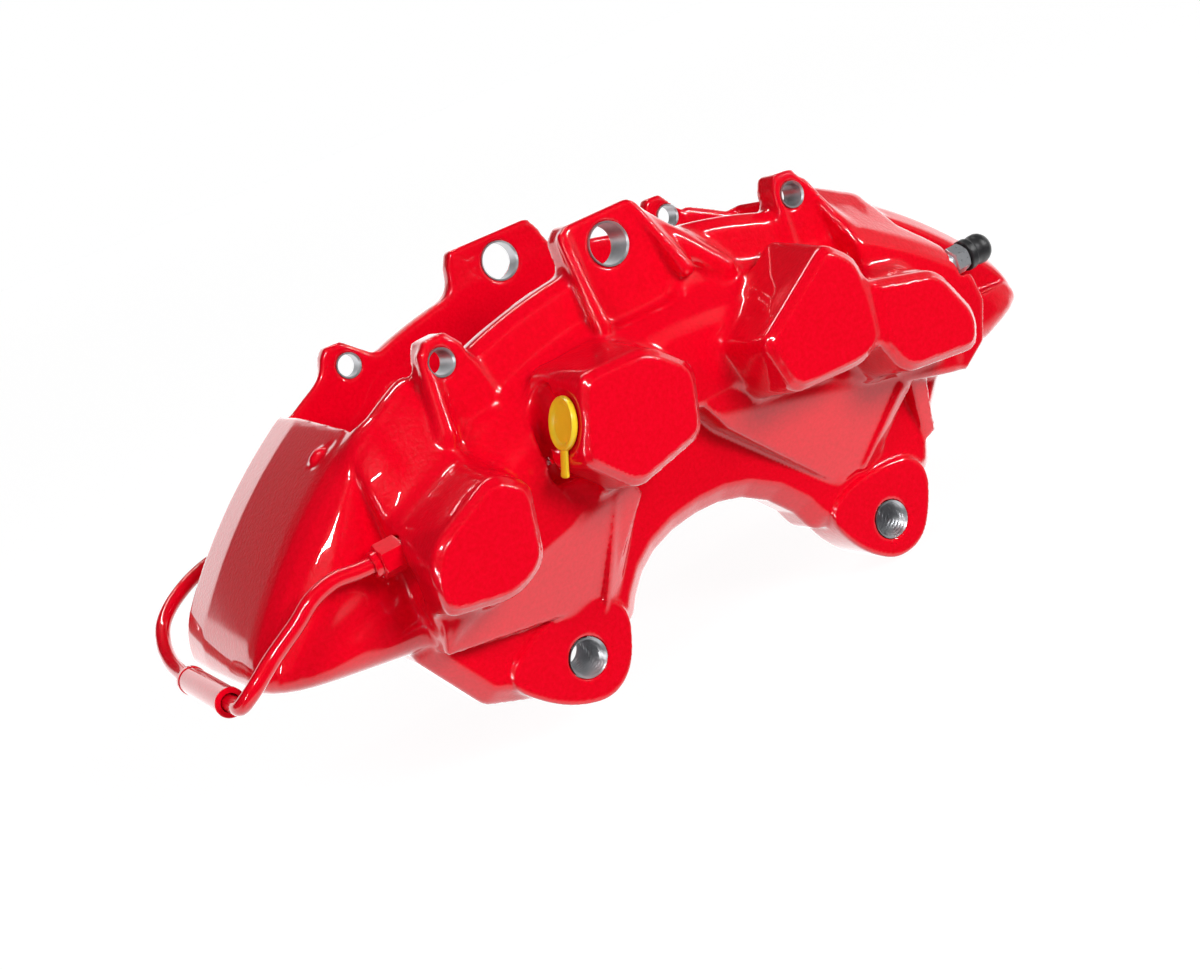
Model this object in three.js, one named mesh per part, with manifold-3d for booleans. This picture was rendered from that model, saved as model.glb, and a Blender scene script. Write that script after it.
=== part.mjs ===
// Fixed eight-piston brake caliper for a large ventilated disc, bare of pads and disc.
// Millimetres. X runs along the disc's rim, Y from the inboard side to the outboard side,
// Z outward from the disc's axis. Places below are measured from the pad bridge bolt hole
// in the inboard wall; the finished group is moved so that the middle of its underside is
// the origin.
import * as THREE from 'three';
import { mergeVertices } from 'three/addons/utils/BufferGeometryUtils.js';
import Module from 'manifold-3d';

const wasm = await Module();
wasm.setup();

// ---------------------------------------------------------------- driving dimensions
const discAxisZ = -212; // height of the disc's axis
const midX = 1.85; // middle of the pad window
const gap = 0.3; // clearance between separate pieces

const inboardWallY = 14; // pad side of the inboard wall
const outboardWallY = 94; // pad side of the outboard wall
const midY = (inboardWallY + outboardWallY) / 2; // middle plane of the disc
const bossFaceY = -40; // inboard piston boss faces
const housingFaceY = -13; // inboard housing between the bosses
const endFaceY = -1; // inboard face of the two end bridges
const bridgeOuterR = 222.5;
const bridgeInnerR = 206;
const discSlotHalf = 20.5; // half width of the disc slot at the ends
const windowHalf = 110.3; // half length of the pad window
const wallTopR = 208; // top of the walls between the lugs
const padFloorZ = -93; // lowest reach of the pad window, above the mounting ears
const legR = 130; // lower ends of the bridge legs, measured from the disc's axis
const housingR = 138; // lower edge of the piston housing, measured the same way
const lugY = { inboard: 13, outboard: 8 }; // thickness of the lugs
const mountY = 24; // pad side of the mounting ears

const centreBoreR = 14;
const endBoreR = 13;
const boreEndDepth = 44; // bore bottom, from the pad side of the wall
const pistonLength = 42;
const pistonWall = 3;
const pistonProud = 2; // how far a parked piston stands out of its bore
const boreSides = 16; // facets round a bore, the same on the pieces inside it
const boltHoleR = 6.8; // mounting bolt thread
const padPinR = 4.4;
const bridgeBoltR = 7.4;

const pipeR = 2.9;
const pipeLineY = -8; // crossover pipe in front of the end bridge
const portZ = -62; // pipe and bleeder ports
const pipePortX = -118; // seat that the pipe nut screws into
const bleedPortX = 131; // seat that the bleed screw screws into
const portR = 5;
const nutFlats = 11;

// pistons, from the pipe end to the bleeder end: angle and radius about the disc's axis
const pistonSeats = [
  { angle: -33.5, radius: 172, bore: endBoreR },
  { angle: -11.5, radius: 165, bore: centreBoreR },
  { angle: 16.5, radius: 166, bore: centreBoreR },
  { angle: 32, radius: 170, bore: endBoreR },
];

const padPins = [{ x: -75.8, z: -12.4 }, { x: 79.5, z: -12.4 }];
const ears = [{ x: -67.8, z: -131 }, { x: 72, z: -144.5 }];

// ---------------------------------------------------------------- materials
const paint = new THREE.MeshStandardMaterial({ color: 0xd90410, roughness: 0.18, metalness: 0 });
const bareSteel = new THREE.MeshStandardMaterial({ color: 0xa9adb2, roughness: 0.35, metalness: 1 });
const zincSteel = new THREE.MeshStandardMaterial({ color: 0xc3c8cc, roughness: 0.3, metalness: 1 });
const pistonMetal = new THREE.MeshStandardMaterial({ color: 0xb9bcbf, roughness: 0.3, metalness: 1 });
const blackRubber = new THREE.MeshStandardMaterial({ color: 0x151515, roughness: 0.75, metalness: 0 });
const yellowPlastic = new THREE.MeshStandardMaterial({ color: 0xe8c815, roughness: 0.4, metalness: 0 });

// ---------------------------------------------------------------- solid helpers
function solid(geometry) {
  const bare = geometry.clone();
  bare.deleteAttribute('normal');
  bare.deleteAttribute('uv');
  const merged = mergeVertices(bare, 1e-4);
  const vertProperties = new Float32Array(merged.attributes.position.array);
  const triVerts = new Uint32Array(merged.index.array);
  // the faces point out whichever way round the outline or the profile was drawn
  if (signedVolume(vertProperties, triVerts) < 0) triVerts.reverse();
  return new wasm.Manifold(new wasm.Mesh({ numProp: 3, vertProperties, triVerts }));
}

function signedVolume(positions, triangles) {
  const [a, b, c] = [new THREE.Vector3(), new THREE.Vector3(), new THREE.Vector3()];
  let sum = 0;
  for (let i = 0; i < triangles.length; i += 3) {
    a.fromArray(positions, 3 * triangles[i]);
    b.fromArray(positions, 3 * triangles[i + 1]);
    c.fromArray(positions, 3 * triangles[i + 2]);
    sum += a.dot(b.cross(c)) / 6;
  }
  return sum;
}

function geometryOf(manifold) {
  const mesh = manifold.getMesh();
  const geometry = new THREE.BufferGeometry();
  geometry.setAttribute('position', new THREE.BufferAttribute(new Float32Array(mesh.vertProperties), 3));
  geometry.setIndex(new THREE.BufferAttribute(new Uint32Array(mesh.triVerts), 1));
  geometry.computeVertexNormals();
  return geometry;
}

function joined(parts) {
  return parts.reduce((sum, part) => sum.add(part));
}

function cut(body, tools) {
  return tools.reduce((rest, tool) => rest.subtract(tool), body);
}

// a closed outline with its corners rounded, points given as [x, z]
function roundedOutline(points, radius) {
  const shape = new THREE.Shape();
  const count = points.length;
  for (let i = 0; i < count; i += 1) {
    const before = new THREE.Vector2(...points[(i + count - 1) % count]);
    const corner = new THREE.Vector2(...points[i]);
    const after = new THREE.Vector2(...points[(i + 1) % count]);
    const reach = Math.min(radius, corner.distanceTo(before) / 2, corner.distanceTo(after) / 2);
    const from = corner.clone().add(before.clone().sub(corner).setLength(reach));
    const to = corner.clone().add(after.clone().sub(corner).setLength(reach));
    if (i === 0) shape.moveTo(from.x, from.y);
    else shape.lineTo(from.x, from.y);
    if (radius > 0) shape.quadraticCurveTo(corner.x, corner.y, to.x, to.y);
  }
  return shape;
}

// an outline in the XZ plane, filled from one Y to another
function slab(points, fromY, toY, radius = 0, curveSegments = 4) {
  const shape = roundedOutline(points, radius);
  const depth = toY - fromY;
  const geometry = new THREE.ExtrudeGeometry(shape, { depth, bevelEnabled: false, curveSegments });
  geometry.rotateX(Math.PI / 2).translate(0, toY, 0);
  return solid(geometry);
}

// a boss that is wider at its base than at its flat face, as a casting is
function boss(points, baseY, faceY, grow) {
  const centre = new THREE.Vector2();
  points.forEach(([x, z]) => centre.add(new THREE.Vector2(x, z).divideScalar(points.length)));
  const settings = { depth: 1, bevelEnabled: false, curveSegments: 2 };
  const geometry = new THREE.ExtrudeGeometry(roundedOutline(points, 9), settings);
  const position = geometry.attributes.position;
  for (let i = 0; i < position.count; i += 1) {
    const atBase = position.getZ(i) > 0.5;
    const scale = atBase ? 1 + grow : 1;
    const x = centre.x + (position.getX(i) - centre.x) * scale;
    const z = centre.y + (position.getY(i) - centre.y) * scale;
    position.setXYZ(i, x, atBase ? baseY : faceY, z);
  }
  return solid(geometry);
}

function rodY(radius, x, z, fromY, toY, segments = 24) {
  const geometry = new THREE.CylinderGeometry(radius, radius, toY - fromY, segments);
  return solid(geometry.translate(x, (fromY + toY) / 2, z));
}

// a rod along X, its ends given in either order
function rodX(radius, y, z, fromX, toX, segments = 20) {
  const geometry = new THREE.CylinderGeometry(radius, radius, Math.abs(toX - fromX), segments);
  return solid(geometry.rotateZ(Math.PI / 2).translate((fromX + toX) / 2, y, z));
}

function block(fromX, toX, fromY, toY, fromZ, toZ) {
  const geometry = new THREE.BoxGeometry(toX - fromX, toY - fromY, toZ - fromZ);
  return solid(geometry.translate((fromX + toX) / 2, (fromY + toY) / 2, (fromZ + toZ) / 2));
}

// a body turned about the disc's axis, its section given as [radius, y]
function turned(section, segments = 60) {
  const points = section.map(([radius, y]) => new THREE.Vector2(radius, y));
  points.push(points[0].clone());
  return solid(new THREE.LatheGeometry(points, segments).translate(0, 0, discAxisZ));
}

// the same inboard shape, seen from the outboard side
function mirrored(manifold) {
  return manifold.mirror([0, 1, 0]).translate([0, 2 * midY, 0]);
}

function seatPlace(seat) {
  const angle = THREE.MathUtils.degToRad(seat.angle);
  return { x: seat.radius * Math.sin(angle), z: discAxisZ + seat.radius * Math.cos(angle) };
}

// ---------------------------------------------------------------- caliper body
// everything below this outline is open: the disc's side of the casting
const sideOutline = [
  [-190, 30], [-181, -79], [-177, -90], [-150, -95], [-117, -101], [-96, -90], [-60, -83], [-20, -67],
  [24, -67], [64, -83], [98, -93], [116, -101], [148, -103], [171, -93], [178, -75], [190, 30],
];

// the two end bridges, with a deep leg on each side of the disc slot
function endBridges() {
  const slotFrom = midY - discSlotHalf;
  const slotTo = midY + discSlotHalf;
  const farFaceY = 2 * midY - endFaceY;
  const section = [
    [legR, endFaceY], [legR, slotFrom], [bridgeInnerR, slotFrom], [bridgeInnerR, slotTo], [legR, slotTo],
    [legR, farFaceY], [200, farFaceY], [212, farFaceY - 2], [219, farFaceY - 8], [bridgeOuterR, 92],
    [bridgeOuterR, 22], [219, 11], [212, 3], [200, endFaceY],
  ];
  const whole = turned(section).intersect(slab(sideOutline, -30, 160));
  const middle = block(midX - windowHalf, midX + windowHalf, -40, 170, -150, 60);
  return whole.subtract(middle);
}

// the wall and piston housing on one side of the pad window
function inboardWall() {
  const section = [
    [housingR, housingFaceY], [housingR, inboardWallY], [wallTopR, inboardWallY], [wallTopR, 8],
    [205, 4], [191, 1], [187, -9], [183, housingFaceY],
  ];
  const span = [
    [-119, -20], [-119, -100], [-96, -92], [-60, -84], [-20, -66], [24, -66], [64, -84], [98, -94],
    [120, -102], [131, -75], [131, -52], [120, -20], [0, 20],
  ];
  return turned(section).intersect(slab(span, -30, 40));
}

function inboardLugs() {
  const centre = [[-20, -34], [-16.5, 8], [-14, 12], [13, 12], [16, 9], [30, -22], [33, -34]];
  const left = [[-90, -34], [-82, -8], [-79, -3.4], [-70.5, -3.4], [-66, -9], [-58, -34]];
  const right = [[66, -34], [72, -8], [75, -3], [83.5, -3.6], [87, -10], [94, -34]];
  return joined([centre, left, right].map((outline) => slab(outline, 0, lugY.inboard, 3, 2)));
}

function outboardLugs() {
  const centre = [[-32, -30], [-22, 6], [-20, 12], [18, 11], [21, 6], [32, -30]];
  const left = [[-92, -30], [-85, -6], [-82, -2.6], [-75, -2.8], [-67, -10], [-58, -30]];
  const right = [[62, -30], [70, -8], [73, -2.5], [79.5, -2.6], [87, -13], [94, -30]];
  const outerY = outboardWallY + lugY.outboard;
  return joined([centre, left, right].map((outline) => slab(outline, outboardWallY, outerY, 3, 2)));
}

// outlines of the four inboard boss faces
const bossOutlines = [
  [[-123, -75], [-116, -60], [-90, -48], [-80, -55], [-85, -79], [-97, -85], [-121, -80]],
  [[-46, -32], [-21, -33], [-8, -45], [-14, -66], [-42, -72], [-56, -57]],
  [[24, -50], [59, -29], [69, -38], [68, -66], [60, -71], [29, -69]],
  [[70, -48], [101, -56], [111, -76], [107, -86], [76, -82], [69, -66]],
];

function inboardBosses() {
  const bosses = bossOutlines.map((outline) => boss(outline, housingFaceY + 2, bossFaceY, 0.12));
  const floorY = inboardWallY - boreEndDepth;
  // a sleeve of metal round each bore, where the boss alone would be thin
  const sleeves = pistonSeats.map((seat) => {
    const { x, z } = seatPlace(seat);
    return rodY(seat.bore + 2.6, x, z, floorY - 2.6, housingFaceY + 3, 20);
  });
  return joined([...bosses, ...sleeves]);
}

// the flat web below the housing, with the two ears that bolt to the hub carrier
function mountingWeb() {
  const web = [
    [-118, -100], [-102, -125], [-88, -130], [-44, -121], [-36, -112], [-27, -106], [-13, -101],
    [6, -100], [19, -103], [34, -113], [45, -131], [60, -132], [98, -128], [117, -100], [100, -75],
    [0, -55], [-100, -75],
  ];
  const leftEar = [
    [-104, -124], [-88, -136], [-76, -145.5], [-66, -147.5], [-56, -142], [-51, -132], [-46, -119],
    [-60, -112], [-76, -111], [-90, -114],
  ];
  const rightEar = [
    [46, -130], [56, -152], [66, -161], [75, -161.5], [87, -153], [93, -140], [96, -128],
    [86, -123], [72, -122], [58, -123],
  ];
  return joined([
    slab(web, 1.5, mountY, 2, 2),
    slab(leftEar, 0, mountY, 3, 2),
    slab(rightEar, 0, mountY, 3, 2),
  ]);
}

function seatCuts(seat) {
  const { x, z } = seatPlace(seat);
  const floorY = inboardWallY - boreEndDepth;
  return [
    rodY(seat.bore, x, z, floorY, inboardWallY + 1, boreSides),
    rodY(seat.bore + 3, x, z, 3, 7, boreSides),
    rodY(seat.bore + 4, x, z, 10, inboardWallY + 1, boreSides),
  ];
}

function portCuts() {
  const pipeSeatEnd = seatPlace(pistonSeats[0]).x;
  const bleedSeatEnd = seatPlace(pistonSeats[3]).x;
  return [
    rodX(portR, pipeLineY, portZ, pipePortX - 1, pipePortX + 11, 16),
    rodX(2, pipeLineY, portZ, pipePortX + 10, pipeSeatEnd, 8),
    rodX(4.2, pipeLineY, portZ, bleedPortX - 14, bleedPortX + 1, 16),
    rodX(2, pipeLineY, portZ, bleedSeatEnd, bleedPortX - 13, 8),
  ];
}

// the pocket in which the pipe nut turns, and the one beside the bleed screw
function pocketCuts() {
  const pipePocket = [[-121, -36], [-129, -50], [-138, -72], [pipePortX, -82], [pipePortX, -50]];
  return [
    slab(pipePocket, -30, 4, 2, 2),
    block(bleedPortX, bleedPortX + 18, -30, -1, -75, -48),
  ];
}

function caliperBody() {
  const half = joined([inboardWall(), inboardBosses()]);
  const inboardCuts = [...pistonSeats.flatMap(seatCuts), ...portCuts(), ...pocketCuts()];
  const casting = joined([
    endBridges(), half, mirrored(half), inboardLugs(), outboardLugs(), mountingWeb(),
  ]);
  const throughHoles = [
    ...ears.map((ear) => rodY(boltHoleR, ear.x, ear.z, -5, 30, 20)),
    ...padPins.map((pin) => rodY(padPinR, pin.x, pin.z, -50, 150, 12)),
    rodY(bridgeBoltR, 0, 0, -50, 150, 20),
    inletPortCut(),
  ];
  const fromX = midX - windowHalf;
  const window = block(fromX, fromX + 2 * windowHalf, inboardWallY, outboardWallY, padFloorZ, 60);
  return cut(casting, [window, ...inboardCuts, ...inboardCuts.map(mirrored), ...throughHoles]);
}

// ---------------------------------------------------------------- inlet port and its plug
// the port is drilled into the slanted side of the second boss
const inlet = { x: -52, y: -26, z: -45.5, lean: 22, radius: 4 };

function inletFrame(geometry) {
  const lean = THREE.MathUtils.degToRad(inlet.lean);
  return geometry.rotateZ(Math.PI / 2).rotateY(lean).translate(inlet.x, inlet.y, inlet.z);
}

function inletPortCut() {
  const depth = 12;
  return solid(inletFrame(new THREE.CylinderGeometry(inlet.radius, inlet.radius, depth, 16)));
}

// a push-in cup with a dished disc outside and a pull tab below it
function inletPlug() {
  const section = [
    [0, -2.8], [3.4, -2.8], [3.7, -2], [3.7, 1.4], [9, 1.4], [9.4, 2.4], [9, 3.6], [7.4, 3.6],
    [6.6, 2.8], [0, 2.8],
  ];
  const points = section.map(([radius, height]) => new THREE.Vector2(radius, height));
  const cup = solid(inletFrame(new THREE.LatheGeometry(points, 20)));
  const tab = new THREE.BoxGeometry(5, 1.8, 12).translate(0, 2.3, -12.5);
  return cup.add(solid(inletFrame(tab)));
}

// ---------------------------------------------------------------- pistons and what seals them
function pistonGeometry(seat) {
  const outer = seat.bore - gap;
  const inner = outer - pistonWall;
  const back = inboardWallY + pistonProud - pistonLength;
  const front = inboardWallY + pistonProud;
  const section = [
    [0, back], [outer - 1, back], [outer, back + 1], [outer, front], [inner, front],
    [inner, back + 5], [0, back + 5],
  ];
  const points = section.map(([radius, y]) => new THREE.Vector2(radius, y));
  return solid(new THREE.LatheGeometry(points, boreSides));
}

function ring(section) {
  const points = section.map(([radius, y]) => new THREE.Vector2(radius, y));
  points.push(points[0].clone());
  return solid(new THREE.LatheGeometry(points, boreSides));
}

function sealGeometry(seat) {
  const inner = seat.bore;
  const outer = seat.bore + 3 - gap;
  return ring([[inner, 3 + gap], [outer, 3 + gap], [outer, 7 - gap], [inner, 7 - gap]]);
}

function bootGeometry(seat) {
  const inner = seat.bore;
  const outer = seat.bore + 4 - gap;
  const from = 10 + gap;
  return ring([
    [inner, from], [outer, from], [outer, from + 2.6], [inner + 2.4, from + 2.6],
    [inner + 1.4, from + 4], [inner, from + 4],
  ]);
}

// ---------------------------------------------------------------- hydraulic fittings
function hexPrism(flats, length, x, y, z) {
  const geometry = new THREE.CylinderGeometry(flats / Math.sqrt(3), flats / Math.sqrt(3), length, 6);
  return solid(geometry.rotateZ(Math.PI / 2).translate(x, y, z));
}

// flare nut: the hex stands outside the port and the shank is inside it
function tubeNut() {
  const hexLength = 9;
  const hex = hexPrism(nutFlats, hexLength, pipePortX - gap - hexLength / 2, pipeLineY, portZ);
  const collar = rodX(4.6, pipeLineY, portZ, pipePortX - hexLength - 2.5, pipePortX - hexLength, 16);
  const shank = rodX(portR - gap, pipeLineY, portZ, pipePortX - 1, pipePortX + 7, 16);
  const hole = rodX(pipeR + gap, pipeLineY, portZ, pipePortX - 20, pipePortX + 10, 16);
  return joined([hex, collar, shank]).subtract(hole);
}

// bleed screw: threaded shank, hex and the barbed nipple under the cap
function bleedScrew() {
  const shank = rodX(4.2 - gap, pipeLineY, portZ, bleedPortX - 12, bleedPortX + 1, 16);
  const hex = hexPrism(10, 6.5, bleedPortX + gap + 3.25, pipeLineY, portZ);
  const neck = rodX(2.4, pipeLineY, portZ, bleedPortX + 6, bleedPortX + 13, 12);
  const barb = rodX(2.9, pipeLineY, portZ, bleedPortX + 12.5, bleedPortX + 17, 12);
  const bore = rodX(1, pipeLineY, portZ, bleedPortX - 9, bleedPortX + 20, 8);
  return joined([shank, hex, neck, barb]).subtract(bore);
}

// rubber cap: a lipped skirt, a waist and a domed end, with a mouth that just clears the barb
function bleederCap() {
  const from = bleedPortX + 7.3;
  const section = [
    [6.2, from], [6.2, from + 3], [5.7, from + 3.6], [5.7, from + 5.5], [6, from + 6.2],
    [6, from + 9], [4.4, from + 12], [0, from + 12], [0, from + 10.3], [3.8, from + 10.3],
    [3.8, from + 4.5], [3.3, from + 4.5], [3.3, from],
  ];
  const points = section.map(([radius, x]) => new THREE.Vector2(radius, -x));
  points.push(points[0].clone());
  const geometry = new THREE.LatheGeometry(points, 12).rotateZ(Math.PI / 2);
  return solid(geometry.translate(0, pipeLineY, portZ));
}

// ---------------------------------------------------------------- crossover pipe
const sleeve = { x: -187, z: -85, fromY: 9, toY: 60, outerR: 5.2 };

// centre line of the pipe, from the inboard port round the end of the casting to the outboard port
const pipeRoute = [
  [pipePortX + 4, pipeLineY, portZ], [pipePortX - 6, pipeLineY, portZ],
  [pipePortX - 16, pipeLineY, portZ + 0.6], [-143, pipeLineY, -60.4], [-152, pipeLineY, -62.6],
  [-160, pipeLineY, -67.5], [-172, pipeLineY, -74],
  [-182.5, -8.5, -80.5], [-186.6, -4, -84.2], [sleeve.x, 4, sleeve.z], [sleeve.x, 20, sleeve.z],
  [sleeve.x, 40, sleeve.z], [sleeve.x, 58, sleeve.z], [-187, 72, -84.2], [-186.4, 86, -81.6],
  [-184, 98, -77.6], [-179.5, 107.5, -73], [-172, 113.5, -68.6], [-160, 116.3, -63.8], [-147, 116.4, -61.2],
  [-134, 116, portZ], [pipePortX - 6, 116, portZ], [pipePortX + 4, 116, portZ],
];

function crossoverPipe() {
  const points = pipeRoute.map((p) => new THREE.Vector3(...p));
  const path = new THREE.CatmullRomCurve3(points, false, 'centripetal');
  const section = new THREE.Shape();
  section.absarc(0, 0, pipeR, 0, Math.PI * 2);
  const settings = { steps: 46, curveSegments: 4, extrudePath: path, bevelEnabled: false };
  return solid(new THREE.ExtrudeGeometry(section, settings));
}

function pipeSleeve() {
  const body = rodY(sleeve.outerR, sleeve.x, sleeve.z, sleeve.fromY, sleeve.toY, 20);
  return body.subtract(rodY(pipeR + gap + 0.1, sleeve.x, sleeve.z, sleeve.fromY - 1, sleeve.toY + 1, 16));
}

// ---------------------------------------------------------------- pad abutment plates
// thin steel plates that the pads' ends slide on, each held by one countersunk screw
const plate = { thick: 1.2, fromZ: -56, toZ: -30, screwZ: -43, screwR: 3 };

function plateY(side) {
  return side === 'inboard' ? [15.5, 32] : [76, 92.5];
}

function abutmentPlate(endSign, side) {
  const [fromY, toY] = plateY(side);
  const wallX = midX + endSign * (windowHalf - gap);
  const fromX = endSign > 0 ? wallX - plate.thick : wallX;
  const sheet = block(fromX, fromX + plate.thick, fromY, toY, plate.fromZ, plate.toZ);
  const hole = rodX(plate.screwR + gap, (fromY + toY) / 2, plate.screwZ, fromX - 2, fromX + 4, 16);
  return sheet.subtract(hole);
}

function plateScrew(endSign, side) {
  const [fromY, toY] = plateY(side);
  const wallX = midX + endSign * windowHalf;
  const y = (fromY + toY) / 2;
  const head = rodX(plate.screwR, y, plate.screwZ, wallX, wallX - endSign * 1.6, 16);
  const shank = rodX(1.9, y, plate.screwZ, wallX + endSign * 8, wallX - endSign, 12);
  return head.add(shank);
}

function plateScrewCut(endSign, side) {
  const [fromY, toY] = plateY(side);
  const wallX = midX + endSign * windowHalf;
  return joined([
    rodX(2.2, (fromY + toY) / 2, plate.screwZ, wallX - 10, wallX + 10, 12),
    rodX(plate.screwR + gap, (fromY + toY) / 2, plate.screwZ, wallX - gap - 0.1, wallX + gap + 0.1, 16),
  ]);
}

// ---------------------------------------------------------------- the assembly
const assembly = new THREE.Group();

function place(name, manifold, material, parent = assembly) {
  const mesh = new THREE.Mesh(geometryOf(manifold), material);
  mesh.name = name;
  parent.add(mesh);
  return mesh;
}

const ends = [{ name: 'pipe_end', sign: -1 }, { name: 'bleeder_end', sign: 1 }];
const sides = ['inboard', 'outboard'];

const plateCuts = ends.flatMap((end) => sides.map((side) => plateScrewCut(end.sign, side)));
place('caliper_body', cut(caliperBody(), plateCuts), paint);

for (const side of sides) {
  const facing = side === 'inboard' ? (manifold) => manifold : mirrored;
  pistonSeats.forEach((seat, index) => {
    const { x, z } = seatPlace(seat);
    const number = index + 1;
    place(`piston_${side}_${number}`, facing(pistonGeometry(seat).translate([x, 0, z])), pistonMetal);
    place(`piston_seal_${side}_${number}`, facing(sealGeometry(seat).translate([x, 0, z])), blackRubber);
    place(`dust_boot_${side}_${number}`, facing(bootGeometry(seat).translate([x, 0, z])), blackRubber);
  });
  place(`tube_nut_${side}`, facing(tubeNut()), paint);
  place(`bleed_screw_${side}`, facing(bleedScrew()), zincSteel);
  place(`bleeder_cap_${side}`, facing(bleederCap()), blackRubber);
  for (const end of ends) {
    place(`abutment_plate_${side}_${end.name}`, abutmentPlate(end.sign, side), bareSteel);
    place(`plate_screw_${side}_${end.name}`, plateScrew(end.sign, side), zincSteel);
  }
}
place('crossover_pipe', crossoverPipe(), paint);
place('pipe_sleeve', pipeSleeve(), paint);
place('inlet_plug', inletPlug(), yellowPlastic);

const bounds = new THREE.Box3().setFromObject(assembly);
const middle = bounds.getCenter(new THREE.Vector3());
assembly.position.set(-middle.x, -middle.y, -bounds.min.z);

const caliper = new THREE.Group();
caliper.add(assembly);
export default caliper;
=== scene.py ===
"""A gloss red eight-piston brake caliper: the looks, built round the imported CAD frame.

The casting is a signed distance field in numpy: rounded primitives joined with soft blends, as
a pattern maker fillets a casting. Its surface is then meshed. The pistons, boots, fittings, pipe
and hole linings are turned or swept meshes; the seals, plates and their screws keep the CAD's.
Sizes are millimetres in the caliper's design frame, whose origin is the bridge bolt hole in the
inboard wall; X runs along the disc's rim, Y outboard and Z outward from the disc's axis.
"""
import math

import bmesh
import bpy
import numpy as np
from mathutils import Matrix, Vector


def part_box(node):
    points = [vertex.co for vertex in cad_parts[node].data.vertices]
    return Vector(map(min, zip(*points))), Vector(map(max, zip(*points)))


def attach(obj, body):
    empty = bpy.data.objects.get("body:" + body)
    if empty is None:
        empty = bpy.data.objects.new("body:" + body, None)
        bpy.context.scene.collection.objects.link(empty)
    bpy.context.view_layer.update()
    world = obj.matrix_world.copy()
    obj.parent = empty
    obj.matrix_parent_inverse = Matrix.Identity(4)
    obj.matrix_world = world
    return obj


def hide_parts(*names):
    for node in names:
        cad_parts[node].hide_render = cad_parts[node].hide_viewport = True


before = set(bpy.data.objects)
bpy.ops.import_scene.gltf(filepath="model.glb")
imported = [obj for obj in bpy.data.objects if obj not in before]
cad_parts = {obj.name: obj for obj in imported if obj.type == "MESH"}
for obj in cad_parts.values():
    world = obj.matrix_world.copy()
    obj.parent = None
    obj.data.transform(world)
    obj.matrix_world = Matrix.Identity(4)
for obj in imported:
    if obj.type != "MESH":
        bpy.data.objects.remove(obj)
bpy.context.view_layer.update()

MM = 0.001

# ------------------------------------------------------------------ design dimensions (mm)
DISC_Z = -212.0
MID_X = 1.85
WALL_IN, WALL_OUT = 14.0, 94.0
MID_Y = (WALL_IN + WALL_OUT) / 2
BOSS_Y = -40.0
HOUSING_Y = -13.0
END_Y = -1.0
BRIDGE_R, BRIDGE_IN_R = 222.5, 206.0
SLOT_HALF = 20.5
WINDOW_HALF = 110.3
PORT_Y, PORT_Z = -8.0, -62.0
PIPE_PORT_X, BLEED_PORT_X = -118.0, 131.0
SLEEVE_X, SLEEVE_Y, SLEEVE_Z = -187.0, (9.0, 60.0), -85.0
# each bore's angle and radius about the disc's axis, and its own radius
SEATS = [(-33.5, 172, 13), (-11.5, 165, 14), (16.5, 166, 14), (32, 170, 13)]
PINS = [(-75.8, -12.4), (79.5, -12.4)]
EARS = [(-67.8, -131.0), (72.0, -144.5)]
EAR_HOLE_R, PIN_HOLE_R, BRIDGE_HOLE_R = 6.8, 4.4, 7.4
BORE_DEPTH = 44.0
GAP = 0.3
PISTON_BACK, PISTON_FRONT, PISTON_WALL = -26.0, 16.0, 3.0
PIPE_R = 2.9
PLUG_PLACE, PLUG_LEAN = (-52, -26, -45.5), 22.0

# the design frame's place in the row frame, found from the pipe sleeve
sleeve_low, sleeve_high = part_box("pipe_sleeve")
SHIFT = (sleeve_low + sleeve_high) / 2 / MM - Vector((SLEEVE_X, sum(SLEEVE_Y) / 2, SLEEVE_Z))


def row(x, y, z):
    """A design point, as a vector in metres in the row frame."""
    return (Vector((x, y, z)) + SHIFT) * MM


def seat_place(seat):
    """X and Z of a bore's axis."""
    angle, radius = seat[:2]
    return radius * math.sin(math.radians(angle)), DISC_Z + radius * math.cos(math.radians(angle))


# ------------------------------------------------------------------ signed distance toolbox
STEP = 1.3
FAR = 60.0


def smooth_min(a, b, k):
    if k <= 0:
        return np.minimum(a, b)
    h = np.clip(0.5 + 0.5 * (b - a) / k, 0, 1)
    return b + (a - b) * h - k * h * (1 - h)


def smooth_max(a, b, k):
    return -smooth_min(-a, -b, k)


def polygon_distance(u, v, points):
    """Signed distance to a closed polygon in a plane, negative inside."""
    points = np.asarray(points, float)
    best = np.full(np.broadcast(u, v).shape, 1e9)
    inside = np.zeros(best.shape, bool)
    for (ax, ay), (bx, by) in zip(points, np.roll(points, -1, axis=0)):
        ex, ey = bx - ax, by - ay
        wx, wy = u - ax, v - ay
        t = np.clip((wx * ex + wy * ey) / (ex * ex + ey * ey), 0, 1)
        best = np.minimum(best, (wx - ex * t) ** 2 + (wy - ey * t) ** 2)
        crosses = (ay > v) != (by > v)
        inside ^= crosses & (u < ex * (v - ay) / (ey if ey else 1e-9) + ax)
    return np.where(inside, -1, 1) * np.sqrt(best)


def inset(points, by):
    """The polygon moved in by a distance, so that a rounding can grow it back."""
    points = np.asarray(points, float)
    area = np.sum(points[:, 0] * np.roll(points[:, 1], -1) - np.roll(points[:, 0], -1) * points[:, 1])
    turn = 1 if area > 0 else -1
    moved = []
    for i in range(len(points)):
        before, here, after = points[i - 1], points[i], points[(i + 1) % len(points)]
        first, second = here - before, after - here
        first, second = first / np.linalg.norm(first), second / np.linalg.norm(second)
        normal_a = turn * np.array([-first[1], first[0]])
        normal_b = turn * np.array([-second[1], second[0]])
        middle = normal_a + normal_b
        moved.append(here + middle * by / max(0.35, 1 + normal_a @ normal_b))
    return moved


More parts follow.
